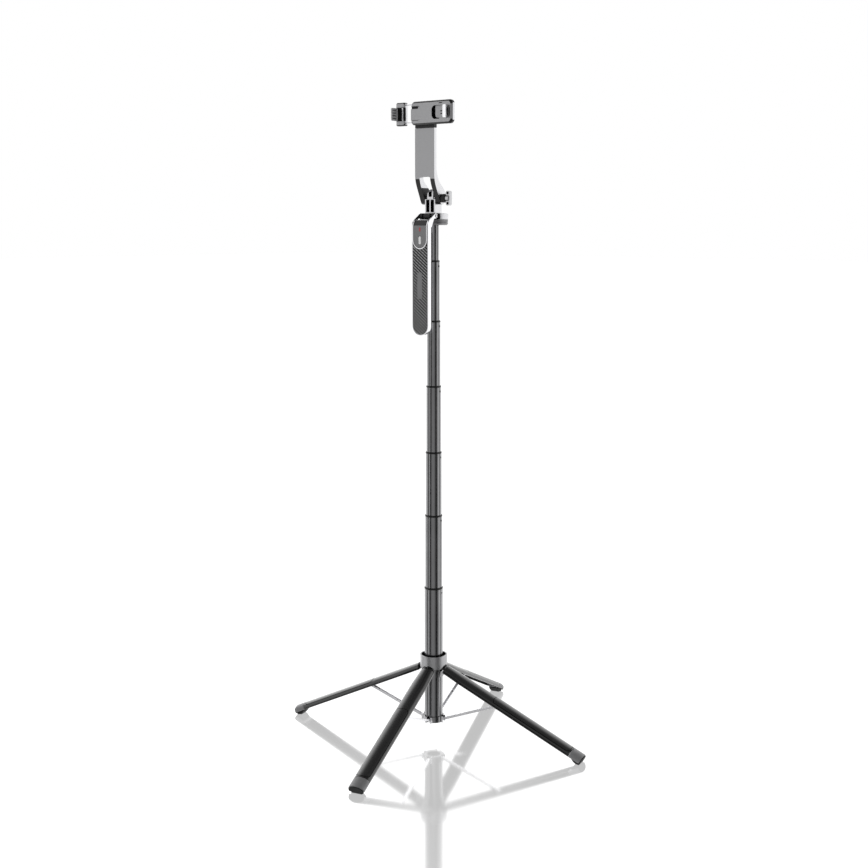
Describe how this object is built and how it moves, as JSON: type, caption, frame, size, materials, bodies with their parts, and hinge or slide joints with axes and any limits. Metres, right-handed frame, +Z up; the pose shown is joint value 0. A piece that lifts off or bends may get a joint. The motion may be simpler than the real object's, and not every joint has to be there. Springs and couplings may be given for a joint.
{
  "type": "selfie stick",
  "caption": "Telescopic selfie stick on four fold-out strutted legs, with a tilting phone clamp and a hanging grip that holds a remote.",
  "frame": {"origin": "on the mast axis, at the level of the floor under the four feet", "axes": "+Z up the mast, -Y the way the phone clamp and the grip face, +X towards the wing knob"},
  "size_m": [0.5034, 0.5034, 1],
  "materials": {
    "black_anodised": "satin anodised black with fine drawn flutes",
    "black_plastic": "fine moulded satin",
    "leg_plastic": "smooth satin black",
    "foot_grey": "matt moulded grey",
    "rubber": "matt black",
    "steel": "plain bright",
    "bright_aluminium": "bright satin",
    "satin_aluminium": "bead-blasted satin grey",
    "hub_grey": "satin metallic grey paint",
    "clamp_grey": "satin metallic grey paint",
    "chromed_plastic": "satin silver plating",
    "carbon_cover": "carbon-fibre twill under clear lacquer",
    "remote_grey": "satin grey",
    "white_plastic": "smooth white"
  },
  "bodies": {
    "base": {"mast_tube_1": "black_anodised", "tube_bush_1": "black_plastic", "lower_collar": "black_plastic"},
    "hub": {"hub_ring": "hub_grey", "hub_core": "black_plastic", "leg_pin_right": "steel", "leg_pin_back": "steel", "leg_pin_left": "steel", "leg_pin_front": "steel"},
    "leg_right": {"leg_shell_right": "leg_plastic", "leg_pad_right": "leg_plastic", "foot_cap_right": "foot_grey", "foot_sole_right": "rubber"},
    "leg_back": {"leg_shell_back": "leg_plastic", "leg_pad_back": "leg_plastic", "foot_cap_back": "foot_grey", "foot_sole_back": "rubber"},
    "leg_left": {"leg_shell_left": "leg_plastic", "leg_pad_left": "leg_plastic", "foot_cap_left": "foot_grey", "foot_sole_left": "rubber"},
    "leg_front": {"leg_shell_front": "leg_plastic", "leg_pad_front": "leg_plastic", "foot_cap_front": "foot_grey", "foot_sole_front": "rubber"},
    "strut_right": {"strut_right": "bright_aluminium"},
    "strut_back": {"strut_back": "bright_aluminium"},
    "strut_left": {"strut_left": "bright_aluminium"},
    "strut_front": {"strut_front": "bright_aluminium"},
    "tube_2": {"mast_tube_2": "black_anodised", "tube_bush_2": "black_plastic"},
    "tube_3": {"mast_tube_3": "black_anodised", "tube_bush_3": "black_plastic"},
    "tube_4": {"mast_tube_4": "black_anodised", "tube_bush_4": "black_plastic"},
    "tube_5": {"mast_tube_5": "black_anodised", "tube_bush_5": "black_plastic"},
    "tube_6": {"mast_tube_6": "black_anodised", "tube_bush_6": "black_plastic"},
    "tube_7": {"mast_tube_7": "black_anodised", "head_base": "black_plastic"},
    "head": {"head_collar": "bright_aluminium", "hinge_block": "black_plastic", "grip_pin": "steel", "neck": "satin_aluminium"},
    "arm": {"arm": "satin_aluminium", "tilt_bolt": "steel", "clamp_mount": "black_plastic"},
    "knob": {"knob_barrel": "black_plastic", "wing_knob": "chromed_plastic"},
    "clamp": {"clamp_body": "clamp_grey"},
    "slider": {"jaw_slider": "clamp_grey"},
    "fixed_jaw": {"fixed_jaw": "chromed_plastic"},
    "sliding_jaw": {"sliding_jaw": "rubber"},
    "grip": {"grip_frame": "chromed_plastic", "grip_cover": "carbon_cover", "remote_bezel": "chromed_plastic"},
    "remote": {"remote_body": "remote_grey", "remote_cell": "steel"},
    "button": {"remote_button": "white_plastic"}
  },
  "joints": [
    {"name": "hub_slide", "type": "slide", "parent": "base", "child": "hub", "axis": [0, 0, 1], "range_m": [0, 0.13215]},
    {"name": "leg_right_fold", "type": "hinge", "parent": "hub", "child": "leg_right", "pos_m": [0.01671, 0.00407, 0.118], "axis": [-0.2365, 0.9716, 0], "range_deg": [0, 64.91]},
    {"name": "leg_back_fold", "type": "hinge", "parent": "hub", "child": "leg_back", "pos_m": [-0.00407, 0.01671, 0.118], "axis": [-0.9716, -0.2365, 0], "range_deg": [0, 64.91]},
    {"name": "leg_left_fold", "type": "hinge", "parent": "hub", "child": "leg_left", "pos_m": [-0.01671, -0.00407, 0.118], "axis": [0.2365, -0.9716, 0], "range_deg": [0, 64.91]},
    {"name": "leg_front_fold", "type": "hinge", "parent": "hub", "child": "leg_front", "pos_m": [0.00407, -0.01671, 0.118], "axis": [0.9716, 0.2365, 0], "range_deg": [0, 64.91]},
    {"name": "strut_right_fold", "type": "hinge", "parent": "leg_right", "child": "strut_right", "pos_m": [0.11368, 0.02767, 0.07125], "axis": [-0.2365, 0.9716, 0], "range_deg": [-133.99, 0]},
    {"name": "strut_back_fold", "type": "hinge", "parent": "leg_back", "child": "strut_back", "pos_m": [-0.02767, 0.11368, 0.07125], "axis": [-0.9716, -0.2365, 0], "range_deg": [-133.99, 0]},
    {"name": "strut_left_fold", "type": "hinge", "parent": "leg_left", "child": "strut_left", "pos_m": [-0.11368, -0.02767, 0.07125], "axis": [0.2365, -0.9716, 0], "range_deg": [-133.99, 0]},
    {"name": "strut_front_fold", "type": "hinge", "parent": "leg_front", "child": "strut_front", "pos_m": [0.02767, -0.11368, 0.07125], "axis": [0.9716, 0.2365, 0], "range_deg": [-133.99, 0]},
    {"name": "tube_2_slide", "type": "slide", "parent": "base", "child": "tube_2", "axis": [0, 0, 1], "range_m": [-0.107, 0.063]},
    {"name": "tube_3_slide", "type": "slide", "parent": "tube_2", "child": "tube_3", "axis": [0, 0, 1], "range_m": [-0.091, 0.079]},
    {"name": "tube_4_slide", "type": "slide", "parent": "tube_3", "child": "tube_4", "axis": [0, 0, 1], "range_m": [-0.094, 0.076]},
    {"name": "tube_5_slide", "type": "slide", "parent": "tube_4", "child": "tube_5", "axis": [0, 0, 1], "range_m": [-0.091, 0.079]},
    {"name": "tube_6_slide", "type": "slide", "parent": "tube_5", "child": "tube_6", "axis": [0, 0, 1], "range_m": [-0.082, 0.088]},
    {"name": "tube_7_slide", "type": "slide", "parent": "tube_6", "child": "tube_7", "axis": [0, 0, 1], "range_m": [-0.046, 0.117]},
    {"name": "head_swivel", "type": "hinge", "parent": "tube_7", "child": "head", "pos_m": [0, 0, 0.826], "axis": [0, 0, 1], "continuous": true},
    {"name": "arm_tilt", "type": "hinge", "parent": "head", "child": "arm", "pos_m": [0, -0.002, 0.8574], "axis": [-1, 0, 0], "range_deg": [-90, 90]},
    {"name": "knob_turn", "type": "hinge", "parent": "arm", "child": "knob", "pos_m": [0.028, -0.002, 0.8574], "axis": [1, 0, 0], "continuous": true},
    {"name": "clamp_swivel", "type": "hinge", "parent": "arm", "child": "clamp", "pos_m": [0, -0.0222, 0.98275], "axis": [0, -1, 0], "continuous": true},
    {"name": "jaw_slide", "type": "slide", "parent": "clamp", "child": "slider", "axis": [1, 0, 0], "range_m": [-0.014, 0.0112]},
    {"name": "fixed_jaw_fold", "type": "hinge", "parent": "clamp", "child": "fixed_jaw", "pos_m": [0.052, -0.0289, 0.98275], "axis": [0, 0, -1], "range_deg": [0, 90]},
    {"name": "sliding_jaw_fold", "type": "hinge", "parent": "slider", "child": "sliding_jaw", "pos_m": [-0.0486, -0.0289, 0.98275], "axis": [0, 0, 1], "range_deg": [0, 90]},
    {"name": "grip_fold", "type": "hinge", "parent": "head", "child": "grip", "pos_m": [0, -0.013, 0.831], "axis": [-1, 0, 0], "range_deg": [0, 90]},
    {"name": "remote_lift", "type": "slide", "parent": "grip", "child": "remote", "axis": [0, -1, 0], "range_m": [0, 0.03]},
    {"name": "button_press", "type": "slide", "parent": "remote", "child": "button", "axis": [0, 1, 0], "range_m": [0, 0.0008], "stiffness_N_per_m": 400}
  ],
  "couplings": [
    {"joint": "leg_right_fold", "follows": "hub_slide", "rad_per_m": 8.5715},
    {"joint": "leg_back_fold", "follows": "hub_slide", "rad_per_m": 8.5715},
    {"joint": "leg_left_fold", "follows": "hub_slide", "rad_per_m": 8.5715},
    {"joint": "leg_front_fold", "follows": "hub_slide", "rad_per_m": 8.5715},
    {"joint": "strut_right_fold", "follows": "hub_slide", "rad_per_m": -17.695},
    {"joint": "strut_back_fold", "follows": "hub_slide", "rad_per_m": -17.695},
    {"joint": "strut_left_fold", "follows": "hub_slide", "rad_per_m": -17.695},
    {"joint": "strut_front_fold", "follows": "hub_slide", "rad_per_m": -17.695}
  ]
}
